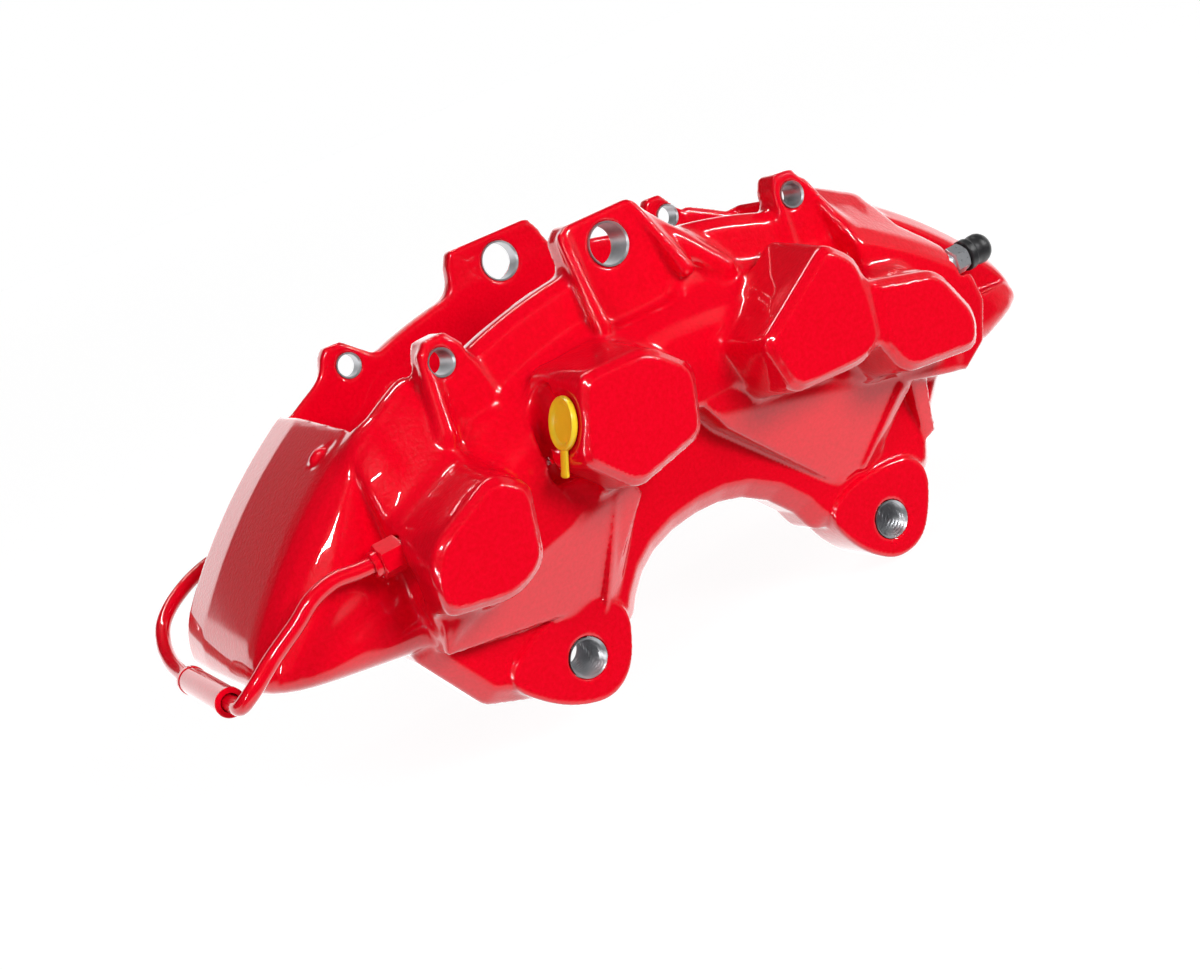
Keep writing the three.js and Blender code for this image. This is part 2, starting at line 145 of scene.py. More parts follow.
class Field:
    """Distances on a grid in the design frame; axes are x, z, y."""

    def __init__(self, low, high):
        self.low = np.array(low, float)
        count = np.ceil((np.array(high) - self.low) / STEP).astype(int) + 1
        self.x, self.y, self.z = (self.low[i] + STEP * np.arange(count[i]) for i in range(3))
        self.d = np.full((count[0], count[2], count[1]), FAR, np.float32)

    def part(self, low, high, pad):
        spans = []
        for axis, (a, b) in zip((self.x, self.y, self.z), zip(low, high)):
            first = np.searchsorted(axis, a - pad)
            last = np.searchsorted(axis, b + pad, side="right")
            spans.append(slice(first, max(last, first + 1)))
        sx, sy, sz = spans
        grid = self.x[sx][:, None, None], self.z[sz][None, :, None], self.y[sy][None, None, :]
        return (sx, sz, sy), grid

    def add(self, shape, k=0.0):
        self._combine(shape, k, lambda old, new: smooth_min(old, new, k))

    def cut(self, shape, k=0.0):
        self._combine(shape, k, lambda old, new: smooth_max(old, -new, k))

    def _combine(self, shape, k, rule):
        distance, low, high = shape
        where, (x, z, y) = self.part(low, high, k + 6)
        new = distance(x, y, z).astype(np.float32)
        self.d[where] = rule(self.d[where], np.clip(new, -FAR, FAR))


def rounded_box(side, depth, edge):
    """Joins a sideways and a depthwise distance with a round edge."""
    a, b = side + edge, depth + edge
    return np.minimum(np.maximum(a, b), 0) + np.hypot(np.maximum(a, 0), np.maximum(b, 0)) - edge


def plane_through(p, q, r, toward=(0, -1, 0)):
    """A point and the unit normal of the plane through three points, on the side it faces."""
    p, q, r = (np.array(v, float) for v in (p, q, r))
    n = np.cross(q - p, r - p)
    n /= np.linalg.norm(n)
    return p, n if n @ toward > 0 else -n


def convex(u, v, points, k):
    """Distance to a convex outline whose corners are rounded by a soft join of its sides."""
    points = np.asarray(points, float)
    area = np.sum(points[:, 0] * np.roll(points[:, 1], -1) - np.roll(points[:, 0], -1) * points[:, 1])
    turn = 1 if area > 0 else -1
    total = None
    for a, b in zip(points, np.roll(points, -1, axis=0)):
        e = (b - a) / np.linalg.norm(b - a)
        side = turn * ((u - a[0]) * e[1] - (v - a[1]) * e[0])
        total = side if total is None else smooth_max(total, side, k)
    return total


# every shape is (distance function, low corner, high corner)
def box_of(points, y0, y1, grow=0.0):
    points = np.asarray(points, float)
    low = (points[:, 0].min() - grow, min(y0, y1), points[:, 1].min() - grow)
    high = (points[:, 0].max() + grow, max(y0, y1), points[:, 1].max() + grow)
    return low, high


def slab(points, y0, y1, edge=2.0, corner=2.0, chamfer=0.0):
    """An outline in X and Z filled from y0 to y1, its edges and corners rounded.

    A chamfer makes the outline grow by that much over the same depth behind y0.
    """
    tight = inset(points, corner)
    half, middle = abs(y1 - y0) / 2, (y0 + y1) / 2

    def distance(x, y, z):
        side = polygon_distance(x, z, tight) - corner - np.clip(y - y0, 0, chamfer)
        return rounded_box(side, np.abs(y - middle) - half, edge)

    return distance, *box_of(points, y0, y1, chamfer)


def boss(points, y0, y1, edge, round_by, grow=0.0, lean=0.0):
    """A convex outline filled from y0 to y1, grown sideways and leaning outward towards y1."""
    half, middle = abs(y1 - y0) / 2, (y0 + y1) / 2

    def distance(x, y, z):
        side = convex(x, z, points, round_by) - grow - lean * np.clip((y - y0) / (y1 - y0), 0, 1)
        return rounded_box(side, np.abs(y - middle) - half, edge)

    return distance, *box_of(points, y0, y1, grow + lean)


def turned(section, section_corner, bounds):
    """A section given as [radius, y], turned about the disc's axis and trimmed by outlines.

    Each bound is an outline, its corner radius and the softness of the edge it leaves.
    """
    tight = inset(section, section_corner)
    trims = [(inset(outline, corner), corner, k) for outline, corner, k in bounds]

    def distance(x, y, z):
        radius = np.hypot(x, z - DISC_Z)
        table_r = np.arange(radius.min() - 1, radius.max() + 2, 0.5)
        table = polygon_distance(table_r[:, None], y.reshape(1, -1), tight) - section_corner
        place = (radius[..., 0] - table_r[0]) / 0.5
        first = np.clip(place.astype(int), 0, len(table_r) - 2)
        part = (place - first)[..., None]
        ringed = table[first] * (1 - part) + table[first + 1] * part
        for outline, corner, k in trims:
            ringed = smooth_max(ringed, polygon_distance(x, z, outline) - corner, k)
        return ringed

    ys = [p[1] for p in section]
    outline = np.asarray(bounds[0][0], float)
    reach = max(p[0] for p in section)
    low = (max(outline[:, 0].min(), -reach), min(ys), outline[:, 1].min())
    high = (min(outline[:, 0].max(), reach), max(ys), outline[:, 1].max())
    return distance, low, high


def bar(a, b, ra, rb=None):
    """A round-ended bar from a to b, its radius going from ra to rb."""
    rb = ra if rb is None else rb
    a, b = np.array(a, float), np.array(b, float)
    e = b - a

    def distance(x, y, z):
        dx, dy, dz = x - a[0], y - a[1], z - a[2]
        t = np.clip((dx * e[0] + dy * e[1] + dz * e[2]) / (e @ e), 0, 1)
        gap = np.sqrt((dx - e[0] * t) ** 2 + (dy - e[1] * t) ** 2 + (dz - e[2] * t) ** 2)
        return gap - (ra + (rb - ra) * t)

    r = max(ra, rb)
    return distance, np.minimum(a, b) - r, np.maximum(a, b) + r


def drill(centre, direction, radius, length, edge=0.0):
    """A cylinder centred on a point, along any direction."""
    c, n = np.array(centre, float), np.array(direction, float)
    n /= np.linalg.norm(n)

    def distance(x, y, z):
        dx, dy, dz = x - c[0], y - c[1], z - c[2]
        along = dx * n[0] + dy * n[1] + dz * n[2]
        away = np.sqrt(np.maximum(dx * dx + dy * dy + dz * dz - along * along, 0))
        return rounded_box(away - radius, np.abs(along) - length / 2, edge)

    reach = np.abs(n) * length / 2 + radius
    return distance, c - reach, c + reach


def gusset(outline, *planes, back=20.0, soft=1.0):
    """A web behind sloping planes, inside an outline in X and Z."""
    faces = [plane_through(*points) for points in planes]

    def distance(x, y, z):
        total = smooth_max(polygon_distance(x, z, outline), y - back, 0)
        for place, n in faces:
            front = (x - place[0]) * n[0] + (y - place[1]) * n[1] + (z - place[2]) * n[2]
            total = smooth_max(total, front, soft)
        return total

    lowest = min(p[1] for points in planes for p in points)
    return distance, *box_of(outline, lowest - 8, back)


def scoop(outline, *planes, wall=None, front_y=-60.0, soft=2.0):
    """The space in front of sloping planes, inside an outline in X and Z, for cutting.

    A wall is one more plane, which stands on the right and faces the pipe end.
    """
    faces = [plane_through(*points) for points in planes]
    if wall:
        faces.append(plane_through(*wall, toward=(-1, 0, 0)))

    def distance(x, y, z):
        total = polygon_distance(x, z, outline)
        for place, n in faces:
            behind = -((x - place[0]) * n[0] + (y - place[1]) * n[1] + (z - place[2]) * n[2])
            total = smooth_max(total, behind, soft)
        return total

    deepest = max(p[1] for points in planes for p in points)
    return distance, *box_of(outline, front_y, deepest + 10)


def outboard(shape):
    """The same shape mirrored to the outboard side."""
    distance, low, high = shape
    flipped_low = (low[0], 2 * MID_Y - high[1], low[2])
    flipped_high = (high[0], 2 * MID_Y - low[1], high[2])
    return (lambda x, y, z: distance(x, 2 * MID_Y - y, z)), flipped_low, flipped_high


def inboard(shape):
    return shape


# ------------------------------------------------------------------ the casting
def dome_profile():
    """[radius, y] from the far side of a bridge over its slightly crowned top to its near face."""
    far = [(200, 109), (212, 107), (219, 101), (BRIDGE_R, 93)]
    crown = [(BRIDGE_R, 71), (BRIDGE_R - 1.6, 46)]
    centre_r, centre_y, radius = 195.4, 23.0, 24.0
    angles = [math.radians(a) for a in range(0, 91, 15)]
    near = [(centre_r + radius * math.cos(a), centre_y - radius * math.sin(a)) for a in angles]
    return far + crown + near


def end_bridges():
    """The two domed ends that carry the walls over the disc, each with its legs and disc slot."""
    slot0, slot1 = MID_Y - SLOT_HALF, MID_Y + SLOT_HALF
    section = [
        (130, END_Y), (130, slot0), (BRIDGE_IN_R, slot0), (BRIDGE_IN_R, slot1), (130, slot1),
        (130, 2 * MID_Y - END_Y), *dome_profile(),
    ]
    left = [(-80, 60), (-230, 60), (-185, -68), (-179, -91), (-150, -96.5), (-117, -102), (-80, -106)]
    right = [(80, 60), (230, 60), (176, -68), (172, -93), (148, -101), (116, -104), (80, -108)]
    window_left = [(-250, 80), (-250, -140), (MID_X - WINDOW_HALF, -140), (MID_X - WINDOW_HALF, 80)]
    window_right = [(250, 80), (250, -140), (MID_X + WINDOW_HALF, -140), (MID_X + WINDOW_HALF, 80)]
    return [
        turned(section, 1.0, [(left, 8, 14), (window_left, 1, 2)]),
        turned(section, 1.0, [(right, 8, 14), (window_right, 1, 2)]),
    ]


def shoulders():
    """The housing's two ends, which swell up from the bosses to the level of the bridges."""
    section = [
        (138, HOUSING_Y), (138, WALL_IN), (221.5, WALL_IN), (217, 9.5), (213, 5.5), (205, 0), (195, -7.5),
        (184, HOUSING_Y),
    ]
    # the bleeder end's section is fuller, so that it covers the bleed screw's shank
    fuller = [*section[:3], (218, 8), (213, 3), (208, -3), (203, -9), (197, HOUSING_Y)]
    left = [(-83, 20), (-118.5, 20), (-118.5, -84), (-117, -101), (-83, -90)]
    right = [
        (90, 20), (114, 20), (114.5, -28), (118.5, -40), (127, -48.5), (133.5, -56), (136.5, -66),
        (138.5, -80), (132, -95), (120, -102), (90, -94),
    ]
    return [turned(section, 4, [(left, 2, 9)]), turned(fuller, 3, [(right, 1, 2.5)])]


def wall_and_housing():
    section = [
        (138, HOUSING_Y), (138, WALL_IN), (209, WALL_IN), (209, 6), (205, 2.5), (192, 1), (187, -3),
        (178, -11), (173, HOUSING_Y),
    ]
    outline = [
        (-116, -14), (-116, -82), (-96, -92), (-60, -84), (-20, -66), (24, -66), (64, -84), (98, -94),
        (116, -98), (116, -20), (0, 20),
    ]
    return turned(section, 2.5, [(outline, 2.5, 4)])


BOSSES = [
    [(-123, -75), (-116, -60), (-90, -48), (-80, -55), (-85, -79), (-97, -85), (-121, -80)],
    [(-46, -32), (-21, -33), (-8, -45), (-14, -66), (-42, -72), (-56, -57)],
    [(24, -50), (59, -29), (69, -38), (68, -66), (60, -71), (29, -69)],
    [(70, -48), (101, -56), (111, -76), (107, -86), (76, -82), (69, -66)],
]


def add_bosses(field, side):
    for outline in BOSSES:
        body = boss(outline, BOSS_Y + 1.5, HOUSING_Y + 8, edge=1.8, round_by=4.5, grow=1.9, lean=3.4)
        field.add(side(body), 5)
    for seat in SEATS:
        x, z = seat_place(seat)
        field.add(side(drill((x, -10, z), (0, 1, 0), seat[2] + 2.6, 44, edge=2)), 4)
    for outline in BOSSES:
        field.add(side(boss(outline, BOSS_Y, BOSS_Y + 5, edge=0.5, round_by=4.5)), 0.0)
    # the groove that parts the faces of the last two bosses
    field.cut(side(bar((73, BOSS_Y - 0.8, -40), (68.6, BOSS_Y - 0.8, -72), 2.2)), 0.6)


def lug(points, y0, y1):
    return slab(points, y0, y1, edge=1.3, corner=2.2)


def add_inboard_lugs(field):
    centre = [(-18.5, -34), (-17, 8), (-13.5, 11.8), (13, 11.8), (16, 8.5), (26, -20), (33, -34)]
    left = [(-86, -38), (-81.5, -8), (-79, -3.6), (-70.5, -3.4), (-66, -9), (-60, -38)]
    right = [(69, -38), (72.5, -8), (75, -3), (83.5, -3.6), (87, -10), (95, -38)]
    for outline in (centre, left, right):
        field.add(lug(outline, 0, 13.5), 4)
    # ribs that run from the edges of the centre lug down on to the housing
    field.add(bar((-15.6, 1.8, 8.5), (-16.8, -5, -25), 1.9, 3.2), 2)
    field.add(bar((13.6, 1.8, 9), (23, -4, -19), 2.0, 3.4), 2)
    field.add(bar((15.5, 7, 6), (39, -2, -25), 3.5, 4.5), 5)
    # buttresses on the outer edges of the small lugs
    field.add(bar((-80.5, 3, -9), (-86, -4, -35), 2.2, 3.6), 3)
    field.add(bar((86.5, 3, -11), (93, -4, -34), 2.2, 3.6), 3)
    # flat faces milled below the lugs, where spanner and pin heads bear
    field.cut(slab([(-79, 8), (-66.5, 8), (-63.5, -35), (-78, -35)], -30, 0, edge=2, corner=4), 2.5)
    field.cut(slab([(75, 8), (86, 8), (89, -33), (74, -33)], -30, 0, edge=2, corner=4), 2.5)
    field.cut(slab([(-13, 20), (12, 20), (19, -20), (14, -27), (-13, -27)], -30, 0, edge=2, corner=4), 2.5)


def add_outboard_lugs(field):
    centre = [(-31, -30), (-22, 6), (-19, 11.6), (18, 11), (21, 6), (32, -30)]
    left = [(-92, -30), (-85, -6), (-82, -2.6), (-75, -2.8), (-67, -10), (-58, -30)]
    right = [(62, -30), (70, -8), (73, -2.5), (79.5, -2.6), (87, -13), (94, -30)]
    for outline in (centre, left, right):
        field.add(lug(outline, WALL_OUT, WALL_OUT + 8), 6)


def arch_outline():
    """The web between the ears: its lower edge is an arch and its upper edge is in the housing."""
    return [
        (-118, -101), (-103, -125), (-88, -131), (-46, -124), (-43, -119), (-36, -111), (-27, -105),
        (-15, -101), (-2, -99.6), (10, -100.4), (21, -103.6), (33, -111), (43, -122), (47, -130),
        (60, -133), (98, -131), (103, -118), (117, -101), (100, -75), (0, -55), (-100, -75),
    ]


def add_web_and_ears(field):
    # the chamfer behind its front edge shows as a wide band round the arch
    field.add(slab(arch_outline(), 2.5, 24, edge=1.0, corner=2, chamfer=6.5), 1.5)
    left_ear = [(-103, -124), (-76, -150), (-55, -149), (-43, -118), (-76, -108.5)]
    right_ear = [(44, -129), (58, -157), (78, -163.5), (94, -149), (97, -127), (70, -120)]
    for outline, round_by in ((left_ear, 14), (right_ear, 13)):
        field.add(boss(outline, 0, 24, edge=1.2, round_by=round_by), 0.8)


def add_panels(field):
    """Sloping gussets that tie the underside of the housing to the web."""
    housing_face = [(0, HOUSING_Y + 0.6, 0), (10, HOUSING_Y + 0.6, 0), (0, HOUSING_Y + 0.6, 10)]
    left = [(-34, -70), (-28, -84), (-52, -118), (-74, -112), (-118, -102), (-114, -74), (-60, -66)]
    left_slope = [(-36, -12, -79), (-114, -11, -96), (-60, 2.5, -119)]
    field.add(gusset(left, left_slope, housing_face), 0.5)
    left_rib = [(-38, -74), (-26, -76), (-28, -90), (-49, -120), (-56, -119)]
    field.add(gusset(left_rib, [(-33, -9, -80), (-28, -5.5, -82), (-52, 1.5, -120)], housing_face), 0.5)
    right = [(2, -60), (13, -78), (56, -122), (68, -120), (94, -98), (94, -80), (60, -62)]
    field.add(gusset(right, [(12, -12, -72), (92, -11, -95), (57, 2.5, -122.5)], housing_face), 0.5)
    right_rib = [(66, -121), (88, -94), (98, -92), (76, -123)]
    field.add(gusset(right_rib, [(92, -12, -95), (97, -9, -97), (70, 1.5, -122)], housing_face), 0.5)
    right_rail = [(96, -92), (104, -94), (106, -122), (100, -124)]
    field.add(gusset(right_rail, [(98, -8, -96), (104, -8, -97), (102, 1, -121)], housing_face), 0.5)


def cut_holes(field):
    floor_y = WALL_IN - BORE_DEPTH
    for side in (inboard, outboard):
        for seat in SEATS:
            x, z = seat_place(seat)
            middle = (floor_y + WALL_IN) / 2
            field.cut(side(drill((x, middle, z), (0, 1, 0), seat[2], BORE_DEPTH + 4)), 0.5)
            field.cut(side(drill((x, WALL_IN, z), (0, 1, 0), seat[2] + 4, 8)), 0.5)
        field.cut(side(drill((PIPE_PORT_X + 5, PORT_Y, PORT_Z), (1, 0, 0), 5, 12)), 0.6)
        field.cut(side(drill((BLEED_PORT_X + 4.5, PORT_Y, PORT_Z), (1, 0, 0), 7, 9)), 0.8)
    for x, z in PINS:
        field.cut(drill((x, 50, z), (0, 1, 0), PIN_HOLE_R + 0.5, 200), 1)
    field.cut(drill((0, 50, 0), (0, 1, 0), BRIDGE_HOLE_R + 0.5, 200), 1.2)
    for x, z in EARS:
        field.cut(drill((x, 12, z), (0, 1, 0), EAR_HOLE_R + 0.8, 40), 1.2)


def cut_pockets(field):
    wall = [(-118.2, 0, -36), (-118.2, 0, -86), (-122.5, -40, -75)]
    for side in (inboard, outboard):
        # the side of the housing that the pipe nut screws into, and the dome in front of it
        notch = [(-114, -33), (-114, -90), (-170, -90), (-170, -50), (-128, -31)]
        floor = [(-118, 7, -34), (-118, 4.5, -72), (-146, -2, -66)]
        field.cut(side(scoop(notch, floor, wall=wall, soft=1.5)), 2.5)
        foot = [(-112, -80), (-112, -99), (-138, -99), (-138, -80)]
        flange = [(-118, END_Y, -84), (-136, END_Y, -84), (-118, END_Y, -98)]
        field.cut(side(scoop(foot, flange, wall=wall, soft=1)), 1.5)
        # a trough under the dome, along the pipe
        field.cut(side(bar((-121, -5, -73), (-174, -6, -87), 6.5, 5)), 6)
        # the bleeder end is set back behind the edge of the housing
        back = [
            (114.5, -20), (118.5, -40), (127, -48.5), (133.5, -56), (136.5, -66), (138.5, -80), (190, -84),
            (190, -20),
        ]
        field.cut(side(scoop(back, [(118, 5, -30), (136, 6, -80), (165, 3, -60)], soft=1)), 0.8)
    # a small rimmed pocket high on the pipe end's dome
    field.cut(bar((-117.4, 25, -21.4), (-124.4, 30, -26), 4.6), 0.8)
    field.add(bar((-119, 30.5, -27.2), (-121.4, 31.6, -28.8), 2.2), 0.8)
    # the channel beside the second boss, and the flat under the inlet plug's disc
    field.cut(bar((-53.5, -14, -36), (-54, -13, -62), 6), 0.8)
    field.cut(bar((-54, -13, -62), (-50.5, -13.5, -71), 6, 6.4), 0.8)
    lean = math.radians(PLUG_LEAN)
    outward = np.array([-math.cos(lean), 0, math.sin(lean)])
    field.cut(drill(np.array(PLUG_PLACE) + outward * 10.9, outward, 11, 20, edge=1), 1)


def casting_field():
    field = Field((-200, -44, -168), (196, 152, 18))
    for shape in end_bridges():
        field.add(shape)
    wall = wall_and_housing()
    for side in (inboard, outboard):
        field.add(side(wall), 6)
        for shape in shoulders():
            field.add(side(shape), 5)
    for side in (inboard, outboard):
        add_bosses(field, side)
    add_inboard_lugs(field)
    add_outboard_lugs(field)
    cut_pockets(field)
    add_panels(field)
    add_web_and_ears(field)
    half = WINDOW_HALF
    window = [(MID_X - half, 60), (MID_X + half, 60), (MID_X + half, -93), (MID_X - half, -93)]
    field.cut(slab(window, WALL_IN, WALL_OUT, edge=3, corner=3), 1.5)
    cut_holes(field)
    return field


# ------------------------------------------------------------------ meshing a field
def sample(values, field, points):
    """Trilinear samples of a grid at points given in the design frame."""
    place = (points[:, [0, 2, 1]] - field.low[[0, 2, 1]]) / STEP
    top = np.array(values.shape) - 2
    first = np.clip(place.astype(int), 0, top)
    f = place - first
    total = np.zeros(len(points))
    for corner in range(8):
        bits = [(corner >> b) & 1 for b in range(3)]
        weight = np.ones(len(points))
        for axis, bit in enumerate(bits):
            weight *= f[:, axis] if bit else 1 - f[:, axis]
        total += weight * values[first[:, 0] + bits[0], first[:, 1] + bits[1], first[:, 2] + bits[2]]
    return total


def surface(field):
    """Surface nets: one vertex in each cell that the surface crosses, one quad per crossed edge."""
    d = field.d
    shape = np.array(d.shape)
    cells = shape - 1
    sums = np.zeros((np.prod(cells), 3))
    counts = np.zeros(np.prod(cells))
    quads = []
    for axis in range(3):
        low = [slice(None)] * 3
        high = [slice(None)] * 3
        low[axis], high[axis] = slice(0, -1), slice(1, None)
        a, b = d[tuple(low)], d[tuple(high)]
        crossing = (a < 0) != (b < 0)
        for other in range(3):
            if other != axis:
                edge = [slice(None)] * 3
                edge[other] = slice(0, 1)
                crossing[tuple(edge)] = False
                edge[other] = slice(-1, None)
                crossing[tuple(edge)] = False
        at = np.argwhere(crossing)
        va, vb = a[crossing].astype(float), b[crossing].astype(float)
        point = at.astype(float)
        point[:, axis] += va / (va - vb)
        u, v = (axis + 1) % 3, (axis + 2) % 3
        ring = []
        for du, dv in ((-1, -1), (0, -1), (0, 0), (-1, 0)):
            cell = at.copy()
            cell[:, u] += du
            cell[:, v] += dv
            index = np.ravel_multi_index(cell.T, cells)
            ring.append(index)
            for k in range(3):
                sums[:, k] += np.bincount(index, point[:, k], minlength=len(sums))
            counts += np.bincount(index, minlength=len(counts))
        ring = np.stack(ring, 1)
        # the axes are x, z, y, a left-handed order, so the loops run the other way
        flip = va < 0
        ring[~flip] = ring[~flip][:, ::-1]
        quads.append(ring[:, ::-1])
    used = np.nonzero(counts)[0]
    renumber = np.full(len(counts), -1)
    renumber[used] = np.arange(len(used))
    grid_points = sums[used] / counts[used, None]
    points = grid_points[:, [0, 2, 1]] * STEP + field.low
    return points, renumber[np.concatenate(quads)]


def settle(points, field, rounds=3):
    """Moves vertices onto the surface along its slope, and returns the slopes as normals."""
    slopes = np.gradient(field.d, STEP)
    for _ in range(rounds):
        value = sample(field.d, field, points)
        slope = np.stack([sample(slopes[i], field, points) for i in (0, 2, 1)], 1)
        size = np.maximum(np.sum(slope * slope, 1), 0.05)
        points = points - np.clip(value / size, -0.8, 0.8)[:, None] * slope
    slope = np.stack([sample(slopes[i], field, points) for i in (0, 2, 1)], 1)
    return points, slope / np.linalg.norm(slope, axis=1, keepdims=True)


def mesh_object(name, points, faces, material, body, normals):
    """A smooth object from equal-sided faces, shaded by the normals given."""
    mesh = bpy.data.meshes.new(name)
    count, sides = faces.shape
    mesh.vertices.add(len(points))
    mesh.vertices.foreach_set("co", np.asarray(points, np.float32).ravel())
    mesh.loops.add(count * sides)
    mesh.loops.foreach_set("vertex_index", faces.astype(np.int32).ravel())
    mesh.polygons.add(count)
    mesh.polygons.foreach_set("loop_start", np.arange(0, count * sides, sides, dtype=np.int32))
    mesh.update(calc_edges=True)
    mesh.validate()
    mesh.shade_smooth()
    mesh.normals_split_custom_set_from_vertices([tuple(n) for n in normals])
    mesh.materials.append(material)
    obj = bpy.data.objects.new(name, mesh)
    bpy.context.scene.collection.objects.link(obj)
    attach(obj, body)
    return obj


# ------------------------------------------------------------------ materials
def new_material(name):
    material = bpy.data.materials.new(name)
    material.use_nodes = True
    nodes = material.node_tree.nodes
    return material, nodes, material.node_tree.links, nodes["Principled BSDF"]


def add_node(nodes, kind, **inputs):
    node = nodes.new(kind)
    for key, value in inputs.items():
        node.inputs[key.replace("_", " ")].default_value = value
    return node


def noise_bump(nodes, links, shader, scale, strength, distance=0.0003, detail=3.0, socket="Normal"):
    """Fine relief on the surface, from noise in the object's own space."""
    place = nodes.new("ShaderNodeTexCoord")
    noise = add_node(nodes, "ShaderNodeTexNoise", Scale=scale, Detail=detail, Roughness=0.55)
    bump = add_node(nodes, "ShaderNodeBump", Strength=strength, Distance=distance)
    links.new(place.outputs["Object"], noise.inputs["Vector"])
    links.new(noise.outputs["Fac"], bump.inputs["Height"])
    links.new(bump.outputs["Normal"], shader.inputs[socket])
    return noise


def mix_colour(nodes, links, factor, first, second, shader):
    mix = nodes.new("ShaderNodeMix")
    mix.data_type = "RGBA"
    mix.inputs["A"].default_value = (*first, 1)
    mix.inputs["B"].default_value = (*second, 1)
    links.new(factor, mix.inputs["Factor"])
    links.new(mix.outputs["Result"], shader.inputs["Base Color"])


def paint_material(name, wave, grain):
    """Gloss red enamel: flow waves in the clear film over the fine grain of the casting."""
    material, nodes, links, shader = new_material(name)
    shader.inputs["Roughness"].default_value = 0.3
    shader.inputs["Specular IOR Level"].default_value = 0.06
    shader.inputs["Coat Weight"].default_value = 1.0
    shader.inputs["Coat Roughness"].default_value = 0.03
    shader.inputs["Coat IOR"].default_value = 1.5
    noise_bump(nodes, links, shader, 90, wave, 0.0004, 2.0, "Coat Normal")
    noise = noise_bump(nodes, links, shader, 700, grain, 0.0005, 4.0)
    mix_colour(nodes, links, noise.outputs["Fac"], (0.66, 0.0, 0.004), (0.94, 0.0, 0.02), shader)
    return material


def metal_material(name, first, second, roughness, scale):
    material, nodes, links, shader = new_material(name)
    shader.inputs["Metallic"].default_value = 0.7
    noise = noise_bump(nodes, links, shader, scale, 0.25, 0.0001)
    ramp = nodes.new("ShaderNodeMapRange")
    ramp.inputs["To Min"].default_value = roughness - 0.08
    ramp.inputs["To Max"].default_value = roughness + 0.12
    links.new(noise.outputs["Fac"], ramp.inputs["Value"])
    links.new(ramp.outputs["Result"], shader.inputs["Roughness"])
    mix_colour(nodes, links, noise.outputs["Fac"], first, second, shader)
    return material


def soft_material(name, first, second, roughness, scale, strength=0.15):
    """Rubber and moulded plastic."""
    material, nodes, links, shader = new_material(name)
    shader.inputs["Roughness"].default_value = roughness
    noise = noise_bump(nodes, links, shader, scale, strength, 0.0001)
    mix_colour(nodes, links, noise.outputs["Fac"], first, second, shader)
    return material


RED = paint_material("red_paint", 0.06, 0.35)
RED_STEEL = paint_material("painted_steel", 0.04, 0.1)
BARE = metal_material("machined_metal", (0.42, 0.43, 0.45), (0.55, 0.56, 0.58), 0.34, 900)
ZINC = metal_material("zinc_steel", (0.55, 0.58, 0.62), (0.7, 0.72, 0.74), 0.28, 700)
STAINLESS = metal_material("stainless_plate", (0.5, 0.51, 0.53), (0.6, 0.61, 0.62), 0.3, 500)
PISTON = metal_material("piston_metal", (0.5, 0.5, 0.49), (0.62, 0.62, 0.6), 0.3, 600)
CAP = soft_material("cap_rubber", (0.012, 0.012, 0.013), (0.022, 0.022, 0.024), 0.42, 400)
BOOT = soft_material("boot_rubber", (0.018, 0.018, 0.018), (0.03, 0.03, 0.03), 0.6, 500)
SEAL = soft_material("seal_rubber", (0.014, 0.014, 0.014), (0.022, 0.022, 0.022), 0.5, 500)
YELLOW = soft_material("yellow_plastic", (0.85, 0.6, 0.01), (0.92, 0.7, 0.03), 0.3, 300, 0.08)


# ------------------------------------------------------------------ pieces
def make_casting():
    field = casting_field()
    points, quads = surface(field)
    points, normals = settle(points, field)
    place = (points + np.array(SHIFT)) * MM
    body = mesh_object("caliper_casting", place, quads, RED, "caliper", normals)
    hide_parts("caliper_body")


def lathe(section, place, axis, sides=48, hexed=None):
    """Points and faces of a closed [radius, along] loop turned about an axis through a place.

    hexed is (width across flats, from, to): between those two ends the rings are held to a hexagon
    with corners up and down.
    """
    n = np.array(axis, float) / np.linalg.norm(axis)
    up = np.array((0, 0, 1.0)) if abs(n[2]) < 0.9 else np.array((1.0, 0, 0))
    up = up - n * (up @ n)
    up /= np.linalg.norm(up)
    across = np.cross(n, up)
    angle = np.arange(sides) * 2 * math.pi / sides
    along = np.array([p[1] for p in section], float)
    radius = np.array([p[0] for p in section], float)[:, None] * np.ones(sides)
    if hexed:
        flats, start, end = hexed
        hexagon = flats / 2 / np.cos(angle % (math.pi / 3) - math.pi / 6)
        held = (along > start) & (along < end)
        radius[held] = np.minimum(radius[held], hexagon)
    turn = np.cos(angle)[:, None] * up + np.sin(angle)[:, None] * across
    points = np.array(place, float) + along[:, None, None] * n + radius[..., None] * turn
    i, j = np.meshgrid(range(len(section)), range(sides), indexing="ij")
    after, beside = (i + 1) % len(section), (j + 1) % sides
    quads = np.stack([i * sides + j, i * sides + beside, after * sides + beside, after * sides + j], -1)
    return points.reshape(-1, 3), quads.reshape(-1, 4)


def add_piece(name, shapes, material, body, slot, *nodes):
    """One object from several lots of points and faces, clean of doubled points, with crisp edges."""
    mesh = bpy.data.meshes.new(name)
    made = bmesh.new()
    for points, faces in shapes:
        corners = [made.verts.new((Vector(p) + SHIFT) * MM) for p in points.tolist()]
        for face in faces.tolist():
            made.faces.new([corners[k] for k in face])
    bmesh.ops.remove_doubles(made, verts=made.verts, dist=2e-6)
    bmesh.ops.recalc_face_normals(made, faces=made.faces)
    made.to_mesh(mesh)
    made.free()
    mesh.shade_smooth()
    mesh.set_sharp_from_angle(angle=math.radians(32))
    mesh.materials.append(material)
    obj = bpy.data.objects.new(name, mesh)
    bpy.context.scene.collection.objects.link(obj)
    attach(obj, body)
    if nodes:
        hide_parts(*nodes)
    return obj


def side_y(side, y):
    return y if side == "inboard" else 2 * MID_Y - y


